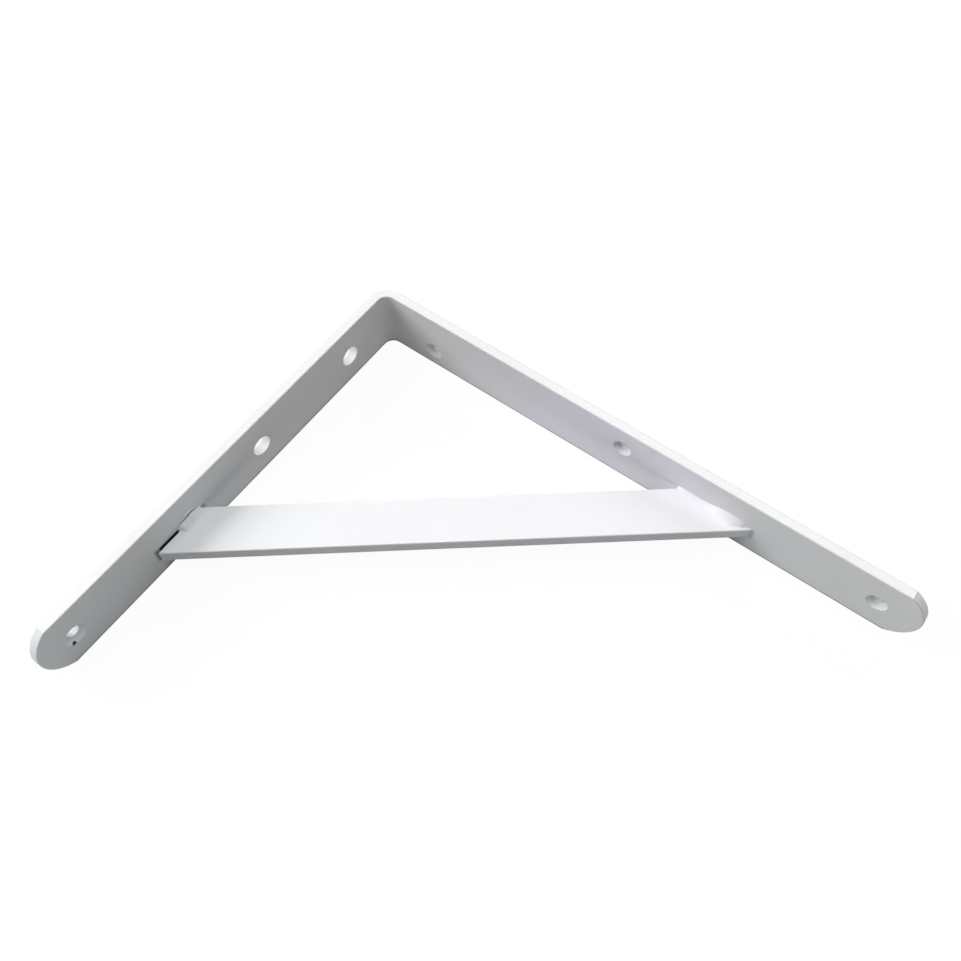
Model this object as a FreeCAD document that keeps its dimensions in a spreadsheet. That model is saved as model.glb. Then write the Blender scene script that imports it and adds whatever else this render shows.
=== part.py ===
import FreeCAD, Part
import math
import os
import Sketcher
from FreeCAD import Placement, Rotation, Vector

# Angle bracket with a welded brace, in millimetres.
# The bracket lies on its side, as in the photograph. The origin is the point of the outside corner,
# on the surface that the bracket lies on. The short arm runs along +X, the long arm along +Y, and
# +Z goes across the width of the bent bar.

doc = FreeCAD.newDocument("AngleBracket")

# Driving sizes. An arm's corner hole is measured from the outside corner, its end hole and the inner
# edge of the brace from the arm's tip, and its middle hole from that edge of the brace. A rise is
# measured up from the middle of the bar's width. Bores and rims are diameters. The tip's radius is
# half the bar's width and tipExtra. Beyond its seat on the short arm, the brace's end stands off by
# the bite, and by braceGap at its outer corner.
sizes = {
    "barWidth": 30.0,
    "barThick": 4.0,
    "shortArm": 200.0,
    "longArm": 250.0,
    "bendInside": 4.5,
    "tipExtra": 2.0,
    "arris": 0.5,
    "plainBore": 9.1,
    "screwBore": 4.2,
    "screwRim": 8.3,
    "shortEndBore": 5.4,
    "shortEndRim": 9.4,
    "shortCornerHole": 30.0,
    "shortMiddleHole": 34.9,
    "shortEndHole": 15.5,
    "shortHoleRise": -0.7,
    "longCornerHole": 28.8,
    "longMiddleHole": 27.4,
    "longEndHole": 16.8,
    "longCornerRise": -5.6,
    "longMiddleRise": 3.5,
    "longEndRise": -0.2,
    "braceWidth": 19.5,
    "braceThick": 6.0,
    "braceRise": -3.2,
    "braceOnShort": 79.6,
    "braceOnLong": 98.8,
    "braceSeat": 11.6,
    "bite": 0.8,
    "biteRun": 2.2,
    "braceGap": 1.2,
    "longBead": 3.3,
    "longBeadSpread": 1.2,
    "longBeadStart": 1.3,
    "longBeadStop": 3.8,
    "shortBead": 1.9,
    "shortBeadSpread": 0.4,
    "shortBeadStart": 1.0,
    "shortBeadStop": 0.7,
}

# Swell of each weld's bead along its seat, from the brace's inner edge outwards, as shares of the
# bead's full radius
longSwell = (0.40, 0.48, 0.52, 0.58, 0.80, 0.98, 1.00, 0.82, 0.95, 0.60)
shortSwell = (0.60, 0.80, 0.92, 1.00, 0.90, 0.84, 0.70)

# Longest step between two lumps of a bead, as a share of its full radius
lumpStep = 0.6

# How far a cut runs past the faces that it goes through
cutPast = 1.0

sheet = doc.addObject("Spreadsheet::Sheet", "Sizes")
for row, (name, number) in enumerate(sizes.items(), start=1):
    sheet.set("A%d" % row, name)
    sheet.set("B%d" % row, str(number))
    sheet.setAlias("B%d" % row, name)
doc.recompute()

# Places and sizes that follow from the driving sizes, as expressions. The brace slants from the short
# arm to the long one, and a step along it is its slant's share of each arm's direction.
outsideBend = "(Sizes.bendInside + Sizes.barThick)"
tipRadius = "(Sizes.barWidth / 2 + Sizes.tipExtra)"
braceBase = "(Sizes.barWidth / 2 + Sizes.braceRise - Sizes.braceThick / 2)"
braceTop = "(Sizes.barWidth / 2 + Sizes.braceRise + Sizes.braceThick / 2)"
braceStartX = "(Sizes.shortArm - Sizes.braceOnShort)"
braceEndY = "(Sizes.longArm - Sizes.braceOnLong)"
braceAcross = "(%s - Sizes.barThick)" % braceStartX
braceAlong = "(%s - Sizes.barThick)" % braceEndY
braceRun = "sqrt(%s ^ 2 + %s ^ 2)" % (braceAcross, braceAlong)
slantX = "(%s / %s)" % (braceAcross, braceRun)
slantY = "(%s / %s)" % (braceAlong, braceRun)
seatOnLong = "(Sizes.braceWidth / %s)" % slantX

# Point numbers and reference geometry, as a sketch counts them
startPoint, endPoint, centrePoint = 1, 2, 3
originPoint = (-1, 1)
levelAxis, uprightAxis = -1, -2


# Number that an expression gives for the sizes in the sheet
def value(expression):
    return float(sheet.evalExpression(expression))


# Empty sketch on one of the body's own origin planes
def newSketch(body, name, role):
    sketch = body.newObject("Sketcher::SketchObject", name)
    support = [feature for feature in body.Origin.OriginFeatures if feature.Role == role]
    sketch.AttachmentSupport = (support[0], "")
    sketch.MapMode = "FlatFace"
    return sketch


def line(x0, y0, x1, y1):
    return Part.LineSegment(Vector(x0, y0, 0), Vector(x1, y1, 0))


def arc(centreX, centreY, radius, startDegrees, endDegrees):
    circle = Part.Circle(Vector(centreX, centreY, 0), Vector(0, 0, 1), radius)
    return Part.ArcOfCircle(circle, math.radians(startDegrees), math.radians(endDegrees))


def constrain(sketch, *terms):
    return sketch.addConstraint(Sketcher.Constraint(*terms))


# Named dimension of a sketch, which follows an expression on the driving sizes
def dimension(sketch, name, expression, *terms):
    index = constrain(sketch, *terms, value(expression))
    sketch.renameConstraint(index, name)
    sketch.setExpression("Constraints." + name, expression)


# Closed outline: each side ends where the next one starts
def closeOutline(sketch, sides):
    for side, following in zip(sides, sides[1:] + sides[:1]):
        constrain(sketch, "Coincident", side, endPoint, following, startPoint)


# A cut has to take something away, or it points the wrong way
def checkCut(feature, volumeBefore):
    doc.recompute()
    if feature.Shape.Volume >= volumeBefore:
        raise RuntimeError(feature.Name + " removes nothing")


# Small round along the chosen edges of a bar
def roundEdges(body, base, name, chosen):
    names = ["Edge%d" % number for number, edge in enumerate(base.Shape.Edges, start=1) if chosen(edge)]
    fillet = body.newObject("PartDesign::Fillet", name)
    fillet.Base = (base, names)
    fillet.setExpression("Radius", "Sizes.arris")
    doc.recompute()


# Bent bar


# Plan of the bent bar: two arms and the bend between them
def bentProfile(body):
    thick = value("Sizes.barThick")
    bend = value(outsideBend)
    shortArm = value("Sizes.shortArm")
    longArm = value("Sizes.longArm")
    sketch = newSketch(body, "BentProfile", "XY_Plane")
    sides = sketch.addGeometry(
        [
            line(shortArm, 0, bend, 0),
            arc(bend, bend, bend, 180, 270),
            line(0, bend, 0, longArm),
            line(0, longArm, thick, longArm),
            line(thick, longArm, thick, bend),
            arc(bend, bend, bend - thick, 180, 270),
            line(bend, thick, shortArm, thick),
            line(shortArm, thick, shortArm, 0),
        ],
        False,
    )
    shortOuter, outerBend, longOuter, longTip = sides[:4]
    longInner, innerBend, shortInner, shortTip = sides[4:]
    constrain(sketch, "Tangent", shortOuter, endPoint, outerBend, endPoint)
    constrain(sketch, "Tangent", outerBend, startPoint, longOuter, startPoint)
    constrain(sketch, "Coincident", longOuter, endPoint, longTip, startPoint)
    constrain(sketch, "Coincident", longTip, endPoint, longInner, startPoint)
    constrain(sketch, "Tangent", longInner, endPoint, innerBend, startPoint)
    constrain(sketch, "Tangent", innerBend, endPoint, shortInner, startPoint)
    constrain(sketch, "Coincident", shortInner, endPoint, shortTip, startPoint)
    constrain(sketch, "Coincident", shortTip, endPoint, shortOuter, startPoint)
    for side in (shortOuter, longTip, shortInner):
        constrain(sketch, "Horizontal", side)
    for side in (longOuter, longInner, shortTip):
        constrain(sketch, "Vertical", side)
    constrain(sketch, "PointOnObject", shortOuter, startPoint, levelAxis)
    constrain(sketch, "PointOnObject", longOuter, startPoint, uprightAxis)
    dimension(sketch, "shortLength", "Sizes.shortArm", "DistanceX", *originPoint, shortOuter, startPoint)
    dimension(sketch, "longLength", "Sizes.longArm", "DistanceY", *originPoint, longOuter, endPoint)
    thickness = "Sizes.barThick"
    dimension(sketch, "shortThick", thickness, "DistanceY", shortTip, endPoint, shortTip, startPoint)
    dimension(sketch, "longThick", thickness, "DistanceX", longTip, startPoint, longTip, endPoint)
    dimension(sketch, "insideRadius", "Sizes.bendInside", "Radius", innerBend)
    dimension(sketch, "outsideRadius", outsideBend, "Radius", outerBend)
    return sketch


# What is cut away to round one arm's tip: the two corners outside an arc across the whole width
def tipProfile(body, name, role, arm):
    length = value(arm)
    width = value("Sizes.barWidth")
    radius = value(tipRadius)
    middle = width / 2
    reach = length - radius + math.sqrt(radius**2 - middle**2)
    sweep = math.degrees(math.asin(middle / radius))
    sketch = newSketch(body, name, role)
    tip, upper, face, lower = sketch.addGeometry(
        [
            arc(length - radius, middle, radius, -sweep, sweep),
            line(reach, width, length, width),
            line(length, width, length, 0),
            line(length, 0, reach, 0),
        ],
        False,
    )
    closeOutline(sketch, [tip, upper, face, lower])
    constrain(sketch, "Horizontal", upper)
    constrain(sketch, "Vertical", face)
    constrain(sketch, "PointOnObject", lower, startPoint, levelAxis)
    constrain(sketch, "PointOnObject", lower, endPoint, levelAxis)
    dimension(sketch, "length", arm, "DistanceX", *originPoint, face, endPoint)
    dimension(sketch, "width", "Sizes.barWidth", "DistanceY", face, endPoint, face, startPoint)
    dimension(sketch, "radius", tipRadius, "Radius", tip)
    dimension(sketch, "centre", "%s - %s" % (arm, tipRadius), "DistanceX", *originPoint, tip, centrePoint)
    return sketch


# The cut starts at the arm's outer face and goes through the bar's thickness
def cutTip(body, name, role, arm, reverse):
    volumeBefore = body.Shape.Volume
    profile = tipProfile(body, name + "Profile", role, arm)
    pocket = body.newObject("PartDesign::Pocket", name)
    pocket.Profile = profile
    pocket.Reversed = reverse
    pocket.setExpression("Length", "Sizes.barThick")
    checkCut(pocket, volumeBefore)
    return pocket


# Edges that run along the bent bar or round its tips, and not straight across its thickness
def alongBentBar(edge):
    if not isinstance(edge.Curve, Part.Line):
        return True
    upright = abs(edge.Curve.Direction.z) > 0.99
    across = edge.Length < 2 * value("Sizes.barThick")
    return not upright and not across


# Plain round hole through the short arm
def cutPlainHole(body, name, along):
    radius = "Sizes.plainBore / 2"
    height = "Sizes.barWidth / 2 + Sizes.shortHoleRise"
    volumeBefore = body.Shape.Volume
    sketch = newSketch(body, name + "Profile", "XZ_Plane")
    middle = Vector(value(along), value(height), 0)
    rim = sketch.addGeometry(Part.Circle(middle, Vector(0, 0, 1), value(radius)), False)
    dimension(sketch, "radius", radius, "Radius", rim)
    dimension(sketch, "along", along, "DistanceX", *originPoint, rim, centrePoint)
    dimension(sketch, "height", height, "DistanceY", *originPoint, rim, centrePoint)
    pocket = body.newObject("PartDesign::Pocket", name)
    pocket.Profile = sketch
    pocket.setExpression("Length", "Sizes.barThick")
    checkCut(pocket, volumeBefore)


# Countersunk screw hole, turned about its own axis. The sketch's upright axis is the hole's axis and
# its level axis lies on the arm's outer face. turn brings the upright axis square to the arm.
def cutScrewHole(body, name, turn, placeX, placeY, rise, boreSize, rimSize):
    bore = value(boreSize + " / 2")
    mouth = value(rimSize + " / 2")
    thick = value("Sizes.barThick")
    past = thick + cutPast
    volumeBefore = body.Shape.Volume
    sketch = newSketch(body, name + "Profile", "XY_Plane")
    sketch.AttachmentOffset = Placement(Vector(0, 0, 0), Rotation(Vector(0, 0, 1), turn))
    sketch.setExpression("AttachmentOffset.Base.x", placeX)
    sketch.setExpression("AttachmentOffset.Base.y", placeY)
    sketch.setExpression("AttachmentOffset.Base.z", "Sizes.barWidth / 2 + " + rise)
    outer, wall, sink, lip, inner, axis = sketch.addGeometry(
        [
            line(0, -cutPast, bore, -cutPast),
            line(bore, -cutPast, bore, thick - mouth + bore),
            line(bore, thick - mouth + bore, mouth, thick),
            line(mouth, thick, mouth, past),
            line(mouth, past, 0, past),
            line(0, past, 0, -cutPast),
        ],
        False,
    )
    closeOutline(sketch, [outer, wall, sink, lip, inner, axis])
    for side in (outer, inner):
        constrain(sketch, "Horizontal", side)
    for side in (wall, lip):
        constrain(sketch, "Vertical", side)
    constrain(sketch, "PointOnObject", axis, startPoint, uprightAxis)
    constrain(sketch, "PointOnObject", axis, endPoint, uprightAxis)
    dimension(sketch, "bore", boreSize + " / 2", "DistanceX", outer, startPoint, outer, endPoint)
    dimension(sketch, "mouth", rimSize + " / 2", "DistanceX", inner, endPoint, inner, startPoint)
    dimension(sketch, "face", "Sizes.barThick", "DistanceY", *originPoint, sink, endPoint)
    sinkDepth = "(%s - %s) / 2" % (rimSize, boreSize)
    dimension(sketch, "sinkDepth", sinkDepth, "DistanceY", sink, startPoint, sink, endPoint)
    dimension(sketch, "below", str(cutPast), "DistanceY", outer, startPoint, *originPoint)
    dimension(sketch, "above", str(cutPast), "DistanceY", lip, startPoint, lip, endPoint)
    groove = body.newObject("PartDesign::Groove", name)
    groove.Profile = sketch
    groove.ReferenceAxis = (sketch, ["V_Axis"])
    groove.Angle = 360
    checkCut(groove, volumeBefore)


def makeBentBar():
    body = doc.addObject("PartDesign::Body", "BentBar")
    body.Label = "bent_bar"
    pad = body.newObject("PartDesign::Pad", "Arms")
    pad.Profile = bentProfile(body)
    pad.setExpression("Length", "Sizes.barWidth")
    doc.recompute()
    cutTip(body, "ShortTip", "XZ_Plane", "Sizes.shortArm", False)
    longTip = cutTip(body, "LongTip", "YZ_Plane", "Sizes.longArm", True)
    roundEdges(body, longTip, "BarArris", alongBentBar)
    cutPlainHole(body, "ShortCornerHole", "Sizes.shortCornerHole")
    cutPlainHole(body, "ShortMiddleHole", braceStartX + " - Sizes.shortMiddleHole")
    shortEnd = "Sizes.shortArm - Sizes.shortEndHole"
    endSizes = ("Sizes.shortEndBore", "Sizes.shortEndRim")
    cutScrewHole(body, "ShortEndHole", 0, shortEnd, "0", "Sizes.shortHoleRise", *endSizes)
    screwSizes = ("Sizes.screwBore", "Sizes.screwRim")
    longHoles = (
        ("LongCornerHole", "Sizes.longCornerHole", "Sizes.longCornerRise"),
        ("LongMiddleHole", braceEndY + " - Sizes.longMiddleHole", "Sizes.longMiddleRise"),
        ("LongEndHole", "Sizes.longArm - Sizes.longEndHole", "Sizes.longEndRise"),
    )
    for name, along, rise in longHoles:
        cutScrewHole(body, name, -90, "0", along, rise, *screwSizes)
    return body


# Brace


# Plan of the brace: two long parallel edges, one end flat on the long arm, and the other end flat on
# the short arm only for the length of its seat, beyond which a rough cut leaves a gap of air
def braceProfile(body):
    thick = value("Sizes.barThick")
    start = value(braceStartX)
    seatEnd = start + value("Sizes.braceSeat")
    biteX = seatEnd + value("Sizes.biteRun")
    biteY = thick + value("Sizes.bite")
    backY = value(braceEndY)
    frontY = backY + value(seatOnLong)
    gapY = thick + value("Sizes.braceGap")
    gapX = thick + (frontY - gapY) * value(slantX) / value(slantY)
    sketch = newSketch(body, "BraceProfile", "XY_Plane")
    back, longEnd, front, rough, bite, seat = sketch.addGeometry(
        [
            line(start, thick, thick, backY),
            line(thick, backY, thick, frontY),
            line(thick, frontY, gapX, gapY),
            line(gapX, gapY, biteX, biteY),
            line(biteX, biteY, seatEnd, thick),
            line(seatEnd, thick, start, thick),
        ],
        False,
    )
    closeOutline(sketch, [back, longEnd, front, rough, bite, seat])
    constrain(sketch, "Vertical", longEnd)
    constrain(sketch, "Horizontal", seat)
    constrain(sketch, "Parallel", back, front)
    dimension(sketch, "start", braceStartX, "DistanceX", *originPoint, back, startPoint)
    dimension(sketch, "shortFace", "Sizes.barThick", "DistanceY", *originPoint, back, startPoint)
    dimension(sketch, "longFace", "Sizes.barThick", "DistanceX", *originPoint, back, endPoint)
    dimension(sketch, "backOnLong", braceEndY, "DistanceY", *originPoint, back, endPoint)
    dimension(sketch, "seatOnLong", seatOnLong, "DistanceY", longEnd, startPoint, longEnd, endPoint)
    dimension(sketch, "seatOnShort", "Sizes.braceSeat", "DistanceX", seat, endPoint, seat, startPoint)
    gapMore = "Sizes.braceGap - Sizes.bite"
    dimension(sketch, "gapMore", gapMore, "DistanceY", rough, endPoint, rough, startPoint)
    dimension(sketch, "bite", "Sizes.bite", "DistanceY", bite, endPoint, bite, startPoint)
    dimension(sketch, "biteRun", "Sizes.biteRun", "DistanceX", bite, endPoint, bite, startPoint)
    return sketch


# The brace's four long edges, on its narrow faces
def alongBrace(edge):
    if not isinstance(edge.Curve, Part.Line):
        return False
    direction = Vector(value(slantX), -value(slantY), 0)
    return abs(edge.Curve.Direction.dot(direction)) > 0.999


def makeBraceBar():
    body = doc.addObject("PartDesign::Body", "BraceBar")
    body.Label = "brace_bar"
    body.setExpression("Placement.Base.z", braceBase)
    pad = body.newObject("PartDesign::Pad", "Brace")
    pad.Profile = braceProfile(body)
    pad.setExpression("Length", "Sizes.braceThick")
    doc.recompute()
    roundEdges(body, pad, "BraceArris", alongBrace)
    return body


# Welds


# The space where a weld can lie: over the flat of the brace's top and inside the two arms
def makeWeldSpace():
    above = doc.addObject("Part::Box", "AboveBrace")
    above.Placement = Placement(Vector(0, 0, 0), Rotation(Vector(0, 0, 1), 45))
    past = "2 * Sizes.braceWidth"
    startX = "%s + Sizes.arris * %s + %s * %s" % (braceStartX, slantY, past, slantX)
    startY = "Sizes.barThick + Sizes.arris * %s - %s * %s" % (slantX, past, slantY)
    above.setExpression("Length", "Sizes.braceWidth - 2 * Sizes.arris")
    above.setExpression("Width", "%s + 2 * %s" % (braceRun, past))
    above.setExpression("Height", "Sizes.barWidth")
    above.setExpression("Placement.Base.x", startX)
    above.setExpression("Placement.Base.y", startY)
    above.setExpression("Placement.Base.z", braceTop)
    above.setExpression("Placement.Rotation.Angle", "atan(%s / %s)" % (braceAcross, braceAlong))
    inside = doc.addObject("Part::Box", "InsideArms")
    inside.setExpression("Length", "Sizes.shortArm")
    inside.setExpression("Width", "Sizes.longArm")
    inside.setExpression("Height", "2 * Sizes.barWidth")
    inside.setExpression("Placement.Base.x", "Sizes.barThick")
    inside.setExpression("Placement.Base.y", "Sizes.barThick")
    space = doc.addObject("Part::Common", "WeldSpace")
    space.Base = above
    space.Tool = inside
    doc.recompute()
    return space


# Share of the bead's full radius at one share of its run
def swellAt(swell, share):
    place = share * (len(swell) - 1)
    before = min(int(place), len(swell) - 2)
    return swell[before] + (place - before) * (swell[before + 1] - swell[before])


# Weld: a bead of overlapping round lumps along the corner between an arm and the top of the brace.
# place gives a lump's x and y as expressions of its share of the bead's run.
def makeWeld(label, run, bead, swell, place, space):
    steps = math.ceil(value(run) / (lumpStep * value(bead)))
    lumps = []
    for number in range(steps + 1):
        share = number / steps
        placeX, placeY = place(share)
        lump = doc.addObject("Part::Sphere", label + "_lump")
        lump.setExpression("Radius", "%s * %.3f" % (bead, swellAt(swell, share)))
        lump.setExpression("Placement.Base.x", placeX)
        lump.setExpression("Placement.Base.y", placeY)
        lump.setExpression("Placement.Base.z", braceTop)
        lumps.append(lump)
    bulk = doc.addObject("Part::MultiFuse", label + "_bulk")
    bulk.Shapes = lumps
    bulk.Refine = False
    weld = doc.addObject("Part::Common", label)
    weld.Label = label
    weld.Base = bulk
    weld.Tool = space
    doc.recompute()
    return weld


def makeWelds():
    space = makeWeldSpace()
    longRun = "(%s - Sizes.longBeadStart - Sizes.longBeadStop)" % seatOnLong
    shortRun = "(Sizes.braceSeat - Sizes.shortBeadStart - Sizes.shortBeadStop)"

    def alongLongArm(share):
        placeX = "Sizes.barThick + Sizes.longBeadSpread"
        placeY = "%s + Sizes.longBeadStart + %.4f * %s" % (braceEndY, share, longRun)
        return placeX, placeY

    def alongShortArm(share):
        placeX = "%s + Sizes.shortBeadStart + %.4f * %s" % (braceStartX, share, shortRun)
        placeY = "Sizes.barThick + Sizes.shortBeadSpread"
        return placeX, placeY

    return [
        makeWeld("weld_long_arm", longRun, "Sizes.longBead", longSwell, alongLongArm, space),
        makeWeld("weld_short_arm", shortRun, "Sizes.shortBead", shortSwell, alongShortArm, space),
    ]


# Checks and files


def checkModel(pieces):
    for thing in doc.Objects:
        if "Invalid" in thing.State or "Error" in thing.State:
            raise RuntimeError("%s: %s" % (thing.Name, thing.State))
    for piece in pieces:
        shape = piece.Shape
        if shape.isNull() or not shape.isValid() or len(shape.Solids) != 1:
            raise RuntimeError(piece.Label + " is not one sound solid")


pieces = [makeBentBar(), makeBraceBar()] + makeWelds()
doc.recompute()
checkModel(pieces)
os.makedirs("parts", exist_ok=True)
for piece in pieces:
    box = piece.Shape.BoundBox
    print(
        "%s: %.1f mm3, x %.2f to %.2f, y %.2f to %.2f, z %.2f to %.2f"
        % (piece.Label, piece.Shape.Volume, box.XMin, box.XMax, box.YMin, box.YMax, box.ZMin, box.ZMax)
    )
    piece.Shape.exportStep(os.path.join("parts", piece.Label + ".step"))
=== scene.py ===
import math

import bmesh
import bpy
from mathutils import Euler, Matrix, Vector, noise


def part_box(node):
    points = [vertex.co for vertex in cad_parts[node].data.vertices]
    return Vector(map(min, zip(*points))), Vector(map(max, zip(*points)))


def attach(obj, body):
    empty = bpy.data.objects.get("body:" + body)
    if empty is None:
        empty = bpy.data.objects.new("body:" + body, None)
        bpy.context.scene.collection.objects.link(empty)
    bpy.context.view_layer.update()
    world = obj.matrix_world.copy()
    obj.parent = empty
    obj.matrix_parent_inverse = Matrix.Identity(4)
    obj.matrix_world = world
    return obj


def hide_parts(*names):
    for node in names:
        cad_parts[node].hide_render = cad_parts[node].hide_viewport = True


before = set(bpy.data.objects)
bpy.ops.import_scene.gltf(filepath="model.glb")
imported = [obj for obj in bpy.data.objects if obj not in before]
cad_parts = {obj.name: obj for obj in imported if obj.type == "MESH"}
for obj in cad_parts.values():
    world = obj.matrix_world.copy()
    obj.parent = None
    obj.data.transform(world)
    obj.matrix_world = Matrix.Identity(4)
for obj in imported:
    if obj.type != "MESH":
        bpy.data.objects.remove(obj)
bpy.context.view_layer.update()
print("frame loaded:", ", ".join(sorted(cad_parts)))

millimetre = 0.001


# Shared helpers for shaders

def addNode(tree, kind, **inputs):
    node = tree.nodes.new(kind)
    for name, number in inputs.items():
        node.inputs[name].default_value = number
    return node


def addMath(tree, operation, first, second):
    node = tree.nodes.new("ShaderNodeMath")
    node.operation = operation
    for socket, source in zip(node.inputs, (first, second)):
        if isinstance(source, (int, float)):
            socket.default_value = source
        else:
            tree.links.new(source, socket)
    return node.outputs[0]


def addRange(tree, source, fromRange, toRange):
    node = tree.nodes.new("ShaderNodeMapRange")
    node.inputs["From Min"].default_value, node.inputs["From Max"].default_value = fromRange
    node.inputs["To Min"].default_value, node.inputs["To Max"].default_value = toRange
    tree.links.new(source, node.inputs["Value"])
    return node.outputs["Result"]


def addVector(tree, operation, source, numbers):
    node = tree.nodes.new("ShaderNodeVectorMath")
    node.operation = operation
    tree.links.new(source, node.inputs[0])
    node.inputs[1].default_value = numbers
    return node.outputs["Vector"]


def addLength(tree, source):
    node = tree.nodes.new("ShaderNodeVectorMath")
    node.operation = "LENGTH"
    tree.links.new(source, node.inputs[0])
    return node.outputs["Value"]


def addBlend(tree, first, second, share):
    node = tree.nodes.new("ShaderNodeMix")
    node.data_type = "RGBA"
    for socket, colour in zip((node.inputs[6], node.inputs[7]), (first, second)):
        if isinstance(colour, tuple):
            socket.default_value = (*colour, 1)
        else:
            tree.links.new(colour, socket)
    tree.links.new(share, node.inputs[0])
    return node.outputs[2]


def startMaterial(name):
    material = bpy.data.materials.new(name)
    material.use_nodes = True
    material.node_tree.nodes.clear()
    return material


def startGroup(name, inputs, outputs):
    group = bpy.data.node_groups.new(name, "ShaderNodeTree")
    for label, number in inputs.items():
        socket = group.interface.new_socket(label, in_out="INPUT", socket_type="NodeSocketFloat")
        socket.default_value = number
    for label in outputs:
        group.interface.new_socket(label, in_out="OUTPUT", socket_type="NodeSocketFloat")
    return group, group.nodes.new("NodeGroupInput"), group.nodes.new("NodeGroupOutput")


# Powder coat: orange peel in the film, broad sags, a slow drift of its tone and fine specks of dust where
# the film sags. With it goes painted coloured light: a faint lilac along the long arm and green towards
# both arms' ends, weak on the top faces. The first four are noises. The others that hold two pairs are
# ramps: from these readings, to these shares. The lilac and green ramps and the one for the top faces
# read places on the bracket in metres, and the rest read a noise.

coatAndLight = {
    "peel": {"Scale": 950.0, "Detail": 2.0, "Roughness": 0.45},  # lumps of about a millimetre
    "sag": {"Scale": 110.0, "Detail": 1.0, "Roughness": 0.4},
    "drift": {"Scale": 22.0, "Detail": 4.0, "Roughness": 0.55},
    "hue": {"Scale": 16.0, "Detail": 2.0, "Roughness": 0.6},
    "speckScale": 520.0,
    "sagShare": 2.0,  # how much higher the sags stand than the peel
    "speckPatches": ((0.56, 0.66), (0.0, 1.0)),
    "speckDots": ((0.08, 0.2), (1.0, 0.0)),
    "driftClouds": ((0.32, 0.68), (0.0, 1.0)),
    "sheen": ((0.3, 0.7), (0.42, 0.52)),
    "tintedLightNoise": ((0.35, 0.65), (0.6, 1.3)),
    "tintedLightTop": ((0.0285, 0.0295), (1.0, 0.1)),
    "lilacFrom": ((0.02, 0.12), (0.0, 1.0)),
    "lilacTo": ((0.155, 0.185), (1.0, 0.0)),
    "lilacOver": ((0.001, 0.0035), (0.0, 1.0)),
    "lilacDepth": ((0.006, 0.03), (1.0, 0.0)),
    "greenLong": ((0.155, 0.185), (0.0, 0.8)),
    "greenShort": ((0.085, 0.12), (0.0, 1.0)),
}


def makeCoatAndLightGroup():
    group, given, result = startGroup(
        "powderCoatAndTintedLight", {"Drift": 0.5, "Specks": 0.2}, ("Height", "Tone", "LilacLight", "Green", "Sheen"))
    link = group.links.new
    place = group.nodes.new("ShaderNodeTexCoord").outputs["Object"]
    noises = [
        addNode(group, "ShaderNodeTexNoise", **coatAndLight[name]) for name in ("peel", "sag", "drift", "hue")
    ]
    speck = addNode(group, "ShaderNodeTexVoronoi", Scale=coatAndLight["speckScale"])
    for pattern in (*noises, speck):
        link(place, pattern.inputs["Vector"])
    peel, sag, drift, hue = (pattern.outputs["Fac"] for pattern in noises)

    # Height and gloss of the film
    sags = addMath(group, "MULTIPLY", sag, coatAndLight["sagShare"])
    link(addMath(group, "ADD", peel, sags), result.inputs["Height"])
    link(addRange(group, sag, *coatAndLight["sheen"]), result.inputs["Sheen"])

    # Darker drifts and specks
    patches = addRange(group, sag, *coatAndLight["speckPatches"])
    dots = addRange(group, speck.outputs["Distance"], *coatAndLight["speckDots"])
    specks = addMath(group, "MULTIPLY", patches, dots)
    specks = addMath(group, "MULTIPLY", specks, given.outputs["Specks"])
    drifts = addRange(group, drift, *coatAndLight["driftClouds"])
    drifts = addMath(group, "MULTIPLY", drifts, given.outputs["Drift"])
    link(addMath(group, "MAXIMUM", drifts, specks), result.inputs["Tone"])

    # Painted coloured light, a lilac and a green tint, weak on the top faces
    axes = group.nodes.new("ShaderNodeSeparateXYZ")
    link(place, axes.inputs[0])
    placeX, placeY, placeZ = axes.outputs
    tintedLight = addRange(group, hue, *coatAndLight["tintedLightNoise"])
    tintedLight = addMath(group, "MULTIPLY", tintedLight, addRange(group, placeZ, *coatAndLight["tintedLightTop"]))
    lilacLight = tintedLight
    for source, ramp in (
        (placeY, "lilacFrom"), (placeY, "lilacTo"), (placeX, "lilacOver"), (placeX, "lilacDepth"),
    ):
        lilacLight = addMath(group, "MULTIPLY", lilacLight, addRange(group, source, *coatAndLight[ramp]))
    greenLong = addRange(group, placeY, *coatAndLight["greenLong"])
    greenLight = addMath(group, "MAXIMUM", greenLong, addRange(group, placeX, *coatAndLight["greenShort"]))
    link(lilacLight, result.inputs["LilacLight"])
    link(addMath(group, "MULTIPLY", tintedLight, greenLight), result.inputs["Green"])
    return group


# Marks at their places on the bracket, in millimetres: painted shade, nearly black, in the gap behind
# the brace's end, a dark spot at the short arm's end hole, painted shade in the corners beside the
# brace's ends, and lines of painted shade along the edge that the bracket lies on and, fainter, along
# the outer top edge

marks = {
    "gap": ((133.2, 142.4), (3.5, 4.95), (8.6, 14.9)),
    "gapFades": (1.0, 0.2, 0.3),
    "holeSpot": (187.1, 3.9, 10.5),
    "holeSpotHalf": (1.0, 1.3, 0.75),
    "holeSpotFade": ((0.75, 1.15), (1.0, 0.0)),  # in shares of its half sizes
    "corners": (  # x, y, radius and share of each
        (119.6, 4.0, 1.8, 0.5), (144.2, 4.0, 1.5, 0.75), (4.0, 183.0, 1.3, 0.3),
    ),
    "cornersCore": 0.2,  # share of the radius where the painted shade is at its full
    "cornersRise": (8.4, 15.0),
    "cornersFade": 0.6,
    "edge": (0.6, 1.5),
    "edgeShare": 0.6,
    "outer": (0.3, 0.6),
    "outerRise": (29.0, 29.4),
    "outerShare": 0.14,
}


# Ramp between two places in millimetres
def addRamp(tree, source, places, shares):
    return addRange(tree, source, [place * millimetre for place in places], shares)


def addWindow(tree, source, limits, fade):
    low, high = limits
    opens = addRamp(tree, source, (low - fade, low), (0.0, 1.0))
    closes = addRamp(tree, source, (high, high + fade), (1.0, 0.0))
    return addMath(tree, "MULTIPLY", opens, closes)


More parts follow.
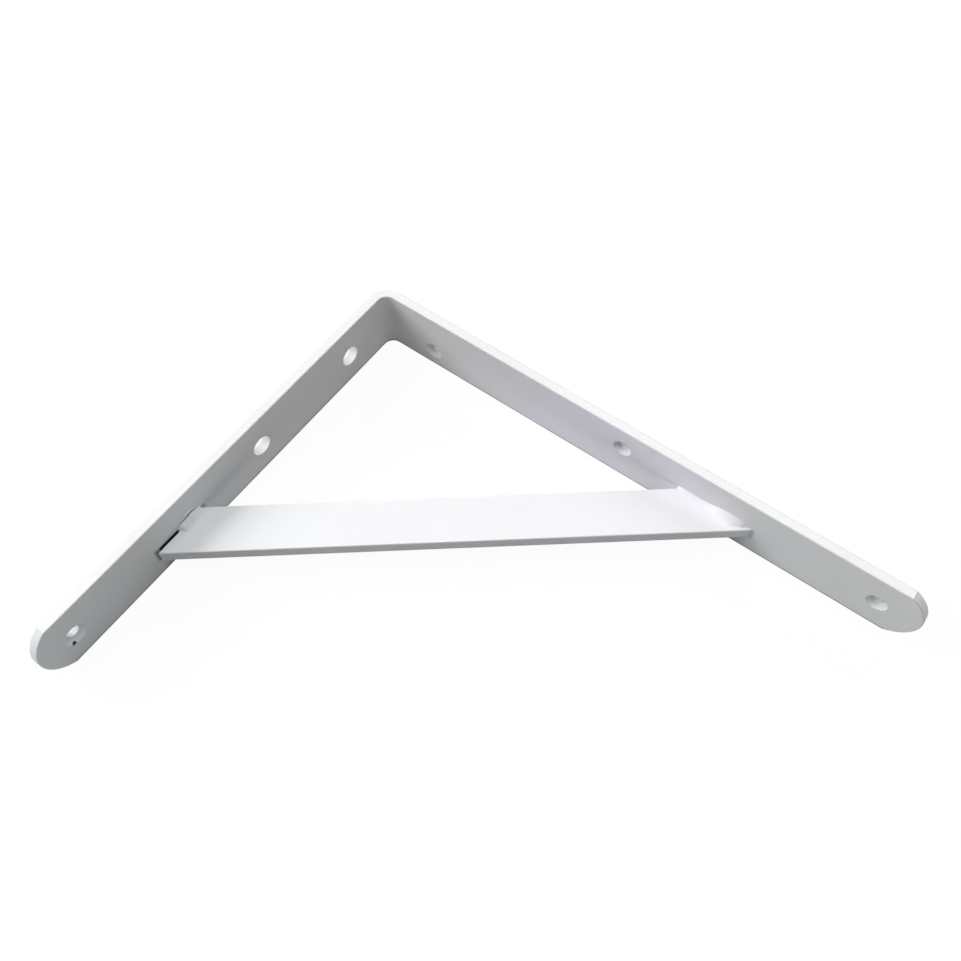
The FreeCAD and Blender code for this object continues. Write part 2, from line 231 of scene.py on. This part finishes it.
def makeMarksGroup():
    group, given, result = startGroup("paintedShadeAndSpot", {"Grime": 1.0}, ("GapShadeAndSpot", "ShadeMask"))
    spot = group.nodes.new("ShaderNodeTexCoord").outputs["Object"]
    axes = group.nodes.new("ShaderNodeSeparateXYZ")
    group.links.new(spot, axes.inputs[0])
    placeX, placeY, placeZ = axes.outputs

    # Painted shade, nearly black, in the gap behind the brace's end
    gap = 1.0
    for axis, limits, fade in zip((placeX, placeY, placeZ), marks["gap"], marks["gapFades"]):
        gap = addMath(group, "MULTIPLY", addWindow(group, axis, limits, fade), gap)
    # A dark spot at the short arm's end hole
    fromHoleSpot = addVector(group, "SUBTRACT", spot, [place * millimetre for place in marks["holeSpot"]])
    fromHoleSpot = addVector(group, "DIVIDE", fromHoleSpot, [half * millimetre for half in marks["holeSpotHalf"]])
    holeSpot = addRange(group, addLength(group, fromHoleSpot), *marks["holeSpotFade"])
    group.links.new(addMath(group, "MAXIMUM", gap, holeSpot), result.inputs["GapShadeAndSpot"])

    # Painted shade in the corners beside the brace's ends
    paintedShade = 0.0
    for cornerX, cornerY, radius, share in marks["corners"]:
        away = addVector(group, "SUBTRACT", spot, (cornerX * millimetre, cornerY * millimetre, 0))
        away = addLength(group, addVector(group, "MULTIPLY", away, (1, 1, 0)))
        near = addRamp(group, away, (marks["cornersCore"] * radius, radius), (share, 0.0))
        paintedShade = addMath(group, "MAXIMUM", near, paintedShade)
    beside = addWindow(group, placeZ, marks["cornersRise"], marks["cornersFade"])
    paintedShade = addMath(group, "MULTIPLY", paintedShade, beside)
    # Painted shade: a dark line along the bottom edge, where the bracket lies on the floor
    edge = addRamp(group, placeZ, marks["edge"], (marks["edgeShare"], 0.0))
    # Painted shade: a faint dark line along the outer top edge
    inward = addMath(group, "MINIMUM", placeX, placeY)
    outer = addRamp(group, inward, marks["outer"], (marks["outerShare"], 0.0))
    high = addRamp(group, placeZ, marks["outerRise"], (0.0, 1.0))
    outer = addMath(group, "MULTIPLY", outer, high)
    dirt = addMath(group, "MAXIMUM", addMath(group, "MAXIMUM", paintedShade, edge), outer)
    group.links.new(addMath(group, "MULTIPLY", dirt, given.outputs["Grime"]), result.inputs["ShadeMask"])
    return group


coatAndLightGroup = makeCoatAndLightGroup()
marksGroup = makeMarksGroup()

# Colours of painted shade: in corners and along edges, in the gap and at the hole spot, and in the weld's
# crevice
paintedShadeColour = (0.10, 0.10, 0.105)
gapShadeAndSpotColour = (0.02, 0.02, 0.024)
creviceShadeColour = (0.12, 0.12, 0.13)
filmSpecular = 0.4
filmRelief = 0.5
filmDepth = 0.1  # millimetres that a full step of the film's height stands for


def placeGroup(tree, group, **inputs):
    node = tree.nodes.new("ShaderNodeGroup")
    node.node_tree = group
    for name, number in inputs.items():
        node.inputs[name].default_value = number
    return node


# The last argument adds painted shade in the crevice that a weld's own attribute marks
def makePaint(name, light, lilacLight, greenLight, dark, drift, specks, paintedShade, creviceShade):
    material = startMaterial(name)
    tree = material.node_tree
    link = tree.links.new
    filmAndLight = placeGroup(tree, coatAndLightGroup, Drift=drift, Specks=specks)
    shadeAndSpot = placeGroup(tree, marksGroup, Grime=paintedShade)
    # Painted coloured light: the lilac and green tints
    colour = addBlend(tree, light, lilacLight, filmAndLight.outputs["LilacLight"])
    colour = addBlend(tree, colour, greenLight, filmAndLight.outputs["Green"])
    colour = addBlend(tree, colour, dark, filmAndLight.outputs["Tone"])
    # Painted shade in the corners and along the edges
    colour = addBlend(tree, colour, paintedShadeColour, shadeAndSpot.outputs["ShadeMask"])
    # Painted shade in the gap, and the dark spot at the end hole
    colour = addBlend(tree, colour, gapShadeAndSpotColour, shadeAndSpot.outputs["GapShadeAndSpot"])
    # Painted shade in the weld's crevice
    if creviceShade:
        crevice = tree.nodes.new("ShaderNodeAttribute")
        crevice.attribute_name = "creviceShade"
        colour = addBlend(tree, colour, creviceShadeColour, crevice.outputs["Fac"])
    bump = addNode(tree, "ShaderNodeBump", Strength=filmRelief, Distance=filmDepth * millimetre)
    link(filmAndLight.outputs["Height"], bump.inputs["Height"])
    shader = tree.nodes.new("ShaderNodeBsdfPrincipled")
    shader.inputs["Specular IOR Level"].default_value = filmSpecular
    link(colour, shader.inputs["Base Color"])
    link(filmAndLight.outputs["Sheen"], shader.inputs["Roughness"])
    link(bump.outputs["Normal"], shader.inputs["Normal"])
    end = tree.nodes.new("ShaderNodeOutputMaterial")
    link(shader.outputs["BSDF"], end.inputs["Surface"])
    return material


paints = {
    "barPaint": {
        "light": (0.84, 0.84, 0.84), "lilacLight": (0.86, 0.825, 0.945), "greenLight": (0.80, 0.845, 0.855),
        "dark": (0.78, 0.78, 0.79), "drift": 0.5, "specks": 0.5, "paintedShade": 1.0, "creviceShade": False,
    },
    "bracePaint": {
        "light": (0.835, 0.84, 0.865), "lilacLight": (0.84, 0.84, 0.88), "greenLight": (0.825, 0.845, 0.865),
        "dark": (0.79, 0.79, 0.80), "drift": 0.4, "specks": 0.5, "paintedShade": 0.8, "creviceShade": False,
    },
    # The long weld's colours are lighter than the bars' under the same white coat: painted light on the
    # bead
    "longWeldLitPaint": {
        "light": (0.905, 0.9, 0.95), "lilacLight": (0.905, 0.9, 0.96), "greenLight": (0.9, 0.9, 0.94),
        "dark": (0.86, 0.86, 0.89), "drift": 0.5, "specks": 0.3, "paintedShade": 0.5, "creviceShade": False,
    },
    "shortWeldPaint": {
        "light": (0.85, 0.85, 0.88), "lilacLight": (0.85, 0.85, 0.88), "greenLight": (0.84, 0.85, 0.87),
        "dark": (0.81, 0.81, 0.84), "drift": 0.5, "specks": 0.3, "paintedShade": 0.5, "creviceShade": True,
    },
}
paints = {name: makePaint(name, **paint) for name, paint in paints.items()}

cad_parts["bent_bar"].data.materials[0] = paints["barPaint"]
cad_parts["brace_bar"].data.materials[0] = paints["bracePaint"]
print("painted the bent bar and the brace")


# Welds under the paint. A bead runs along the corner between an arm and the top of the brace, from
# the brace's inner edge outwards, and starts as much before it as overrun says. up and out are its
# legs on the arm and on the brace at even steps of its run, and lip is how much of the paint's lip
# stands over its crevice there. section goes from the arm to the brace as shares of the legs, and its
# third number says how much painted shade the crevice gets. Sizes are in millimetres.

longWeld = {
    "node": "weld_long_arm",
    "run": (0, 1),
    "away": (1, 0),
    "overrun": 1.2,
    "up": (0.7, 0.9, 0.95, 0.85, 0.8, 1.0, 1.5, 2.3, 2.55, 2.65, 2.6, 2.1, 0.9),
    "out": (2.0, 2.6, 2.8, 2.8, 2.8, 3.0, 3.4, 4.0, 4.2, 4.1, 3.3, 2.1, 0.5),
    "lip": (0, 0),
    "section": (
        (0.0, 1.0, 0), (0.1, 0.84, 0), (0.24, 0.66, 0), (0.42, 0.46, 0), (0.62, 0.26, 0),
        (0.82, 0.09, 0), (1.0, 0.0, 0),
    ),
    "endRound": 2.6,
    "ripple": 0.04,
    "rippleScale": 0.5,
    "steps": 150,
    "rows": 26,
}

shortWeld = {
    "node": "weld_short_arm",
    "run": (1, 0),
    "away": (0, 1),
    "overrun": 0.0,
    "up": (1.9, 2.3, 2.6, 2.95, 2.95, 2.7, 2.5, 2.45, 2.3, 1.7),
    "out": (2.4, 3.0, 3.6, 4.0, 4.2, 4.3, 4.2, 4.0, 3.4, 2.4),
    "lip": (0, 0.2, 0.5, 1, 1, 1, 0.7, 0.3, 0.1, 0),
    "section": (
        (0.0, 1.48, 0), (0.06, 1.42, 0), (0.08, 1.3, 0), (0.03, 1.12, 0.8), (0.0, 1.0, 1),
        (0.04, 0.88, 0.8), (0.13, 0.84, 0), (0.32, 0.67, 0), (0.54, 0.4, 0), (0.78, 0.14, 0), (1.0, 0.0, 0),
    ),
    "endRound": 2.2,
    "ripple": 0.03,
    "rippleScale": 0.8,
    "steps": 80,
    "rows": 60,
}

# For both beads, in millimetres and degrees
sunkDepth = 0.5  # how far a bead's back runs into the bars
skinDepth = 0.05  # how far its two edges dip into them
rippleAcross = 3.0  # width that the ripple's noise takes a bead for
mergeReach = 0.002
flatReach = 0.001
sharpAngle = 50


# A smooth curve through points at even steps
def smoothAt(points, share):
    last = len(points) - 1
    place = share * last
    step = min(int(place), last - 1)
    ease = place - step
    before, start, end, after = (points[min(max(step + offset, 0), last)] for offset in (-1, 0, 1, 2))
    bend = 2 * before - 5 * start + 4 * end - after
    twist = 3 * start - before - 3 * end + after
    return 0.5 * (2 * start + ease * ((end - before) + ease * (bend + ease * twist)))


def makeBead(name, weld, paint):
    low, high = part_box(weld["node"])
    run = Vector((*weld["run"], 0))
    away = Vector((*weld["away"], 0))
    corner = Vector(low) / millimetre - run * weld["overrun"]
    length = (Vector(high) - Vector(low)).dot(run) / millimetre + weld["overrun"]
    section = [Vector(point) for point in weld["section"]]

    def placeOf(share, outward, upward):
        return (corner + run * length * share + away * outward + Vector((0, 0, upward))) * millimetre

    # The bead's skin is a flat grid, wrapped over the section and rounded off at both ends
    shape = bmesh.new()
    creviceShade = shape.verts.layers.float.new("creviceShade")
    bmesh.ops.create_grid(shape, x_segments=weld["steps"], y_segments=weld["rows"], size=0.5)
    shares = {}
    for vert in shape.verts:
        share, across = vert.co.x + 0.5, vert.co.y + 0.5
        fromEnd = min(share, 1 - share) * length / weld["endRound"]
        swell = math.sqrt(max(0.0, 1 - (1 - min(fromEnd, 1.0)) ** 2))
        spot = Vector((share * length, across * rippleAcross, 0)) * weld["rippleScale"]
        swell *= 1 + weld["ripple"] * noise.noise(spot) * math.sin(math.pi * across)
        outShare, upShare, dark = smoothAt(section, across)
        lip = min(max(smoothAt(weld["lip"], share), 0.0), 1.0)
        if upShare > 1:
            upShare = 1 + (upShare - 1) * lip
            outShare *= lip
        outward = outShare * smoothAt(weld["out"], share) * swell - skinDepth * (1 - across)
        upward = upShare * smoothAt(weld["up"], share) * swell - skinDepth * across
        # How much painted shade the crevice gets at this point
        vert[creviceShade] = min(max(dark, 0.0), 1.0) * min(fromEnd, 1.0)
        shares[vert] = share
        vert.co = placeOf(share, outward, upward)

    # Its back: the rim goes down to one line inside the bars, each new corner at its own share
    rim = [edge for edge in shape.edges if edge.is_boundary]
    rimShares = {vert.co.copy().freeze(): shares[vert] for edge in rim for vert in edge.verts}
    sunk = bmesh.ops.extrude_edge_only(shape, edges=rim)["geom"]
    for vert in sunk:
        if isinstance(vert, bmesh.types.BMVert):
            vert.co = placeOf(rimShares[vert.co.copy().freeze()], -sunkDepth, -sunkDepth)
    bmesh.ops.remove_doubles(shape, verts=shape.verts, dist=mergeReach * millimetre)
    bmesh.ops.dissolve_degenerate(shape, edges=shape.edges, dist=flatReach * millimetre)
    bmesh.ops.recalc_face_normals(shape, faces=shape.faces)
    for face in shape.faces:
        face.smooth = True
    mesh = bpy.data.meshes.new(name)
    shape.to_mesh(mesh)
    shape.free()
    mesh.set_sharp_from_angle(angle=math.radians(sharpAngle))
    mesh.materials.append(paint)
    bead = bpy.data.objects.new(name, mesh)
    bpy.context.scene.collection.objects.link(bead)
    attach(bead, "root")
    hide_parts(weld["node"])
    return bead


makeBead("longArmWeld", longWeld, paints["longWeldLitPaint"])
makeBead("shortArmWeld", shortWeld, paints["shortWeldPaint"])
print("laid the two welds")


# Floor and sky. Only the lamps and the floor's grey bounce light the bracket. The camera sees the
# floor nearly white, with a trace of the shadow, and the sky white. Mirrored rays see both in part.

ground = {"size": 8.0, "bounce": 0.5, "shown": 0.95, "whiteShare": 0.95}
mirroredShare = 0.3


# How much of its white a ray sees: this share for the camera, and that for mirrored rays
def addSight(tree, seen, mirrored):
    rays = tree.nodes.new("ShaderNodeLightPath").outputs
    direct = addMath(tree, "MULTIPLY", rays["Is Camera Ray"], seen)
    bounced = addMath(tree, "MAXIMUM", rays["Is Glossy Ray"], rays["Is Transmission Ray"])
    return addMath(tree, "MAXIMUM", direct, addMath(tree, "MULTIPLY", bounced, mirrored))


def makeFloor():
    mesh = bpy.data.meshes.new("floor")
    shape = bmesh.new()
    bmesh.ops.create_grid(shape, x_segments=1, y_segments=1, size=ground["size"] / 2)
    shape.to_mesh(mesh)
    shape.free()
    floor = bpy.data.objects.new("floor", mesh)
    bpy.context.scene.collection.objects.link(floor)
    material = startMaterial("whiteFloor")
    tree = material.node_tree
    grey = addRange(tree, addSight(tree, 1, 0), (0, 1), (ground["bounce"], ground["shown"]))
    diffuse = tree.nodes.new("ShaderNodeBsdfDiffuse")
    tree.links.new(grey, diffuse.inputs["Color"])
    white = addNode(tree, "ShaderNodeEmission", Strength=1.0)
    blend = tree.nodes.new("ShaderNodeMixShader")
    tree.links.new(addSight(tree, ground["whiteShare"], mirroredShare), blend.inputs[0])
    tree.links.new(diffuse.outputs[0], blend.inputs[1])
    tree.links.new(white.outputs[0], blend.inputs[2])
    tree.links.new(blend.outputs[0], tree.nodes.new("ShaderNodeOutputMaterial").inputs["Surface"])
    mesh.materials.append(material)


def makeSky():
    world = bpy.data.worlds.new("sky")
    bpy.context.scene.world = world
    world.use_nodes = True
    tree = world.node_tree
    tree.nodes.clear()
    white = addNode(tree, "ShaderNodeBackground", Color=(1, 1, 1, 1))
    tree.links.new(addSight(tree, 1, mirroredShare), white.inputs["Strength"])
    tree.links.new(white.outputs[0], tree.nodes.new("ShaderNodeOutputWorld").inputs["Surface"])


# Lamps: soft white squares that look at the middle of the bracket. turn is from +X and height is from
# the floor, in degrees.

lampAim = (0.08, 0.1, 0.015)
lampReach = 4.0
lampSize = 2.5
lamps = {
    "keyLamp": {"turn": -80, "height": 35, "watts": 113.0},
    "sideLamp": {"turn": -50, "height": 35, "watts": 55.0},
    "highLamp": {"turn": 0, "height": 89, "watts": 36.0},
    "frontLamp": {"turn": 90, "height": 65, "watts": 34.0},
    "lowLamp": {"turn": 180, "height": 35, "watts": 62.0},
}


def makeLamps():
    for name, lamp in lamps.items():
        data = bpy.data.lights.new(name, "AREA")
        data.shape = "SQUARE"
        data.size = lampSize
        data.energy = lamp["watts"]
        turn = math.radians(lamp["turn"])
        height = math.radians(lamp["height"])
        level = math.cos(height)
        away = Vector((math.cos(turn) * level, math.sin(turn) * level, math.sin(height)))
        lampObject = bpy.data.objects.new(name, data)
        lampObject.location = Vector(lampAim) + away * lampReach
        lampObject.rotation_euler = away.to_track_quat("Z", "Y").to_euler()
        bpy.context.scene.collection.objects.link(lampObject)


camera = {
    "place": (0.18697, 0.192128, 0.328445),
    "turn": (29.27135, 0.65443, 126.11695),
    "lens": 34.11315,
    "sensor": 36.0,
    "nearest": 0.01,
}


def makeCamera():
    data = bpy.data.cameras.new("camera")
    data.lens = camera["lens"]
    data.sensor_width = camera["sensor"]
    data.clip_start = camera["nearest"]
    cameraObject = bpy.data.objects.new("camera", data)
    cameraObject.location = camera["place"]
    cameraObject.rotation_euler = Euler([math.radians(angle) for angle in camera["turn"]], "XYZ")
    bpy.context.scene.collection.objects.link(cameraObject)
    bpy.context.scene.camera = cameraObject


makeFloor()
makeSky()
makeLamps()
makeCamera()
bpy.context.scene.view_settings.view_transform = "Standard"
print("floor, sky, lamps and camera set")
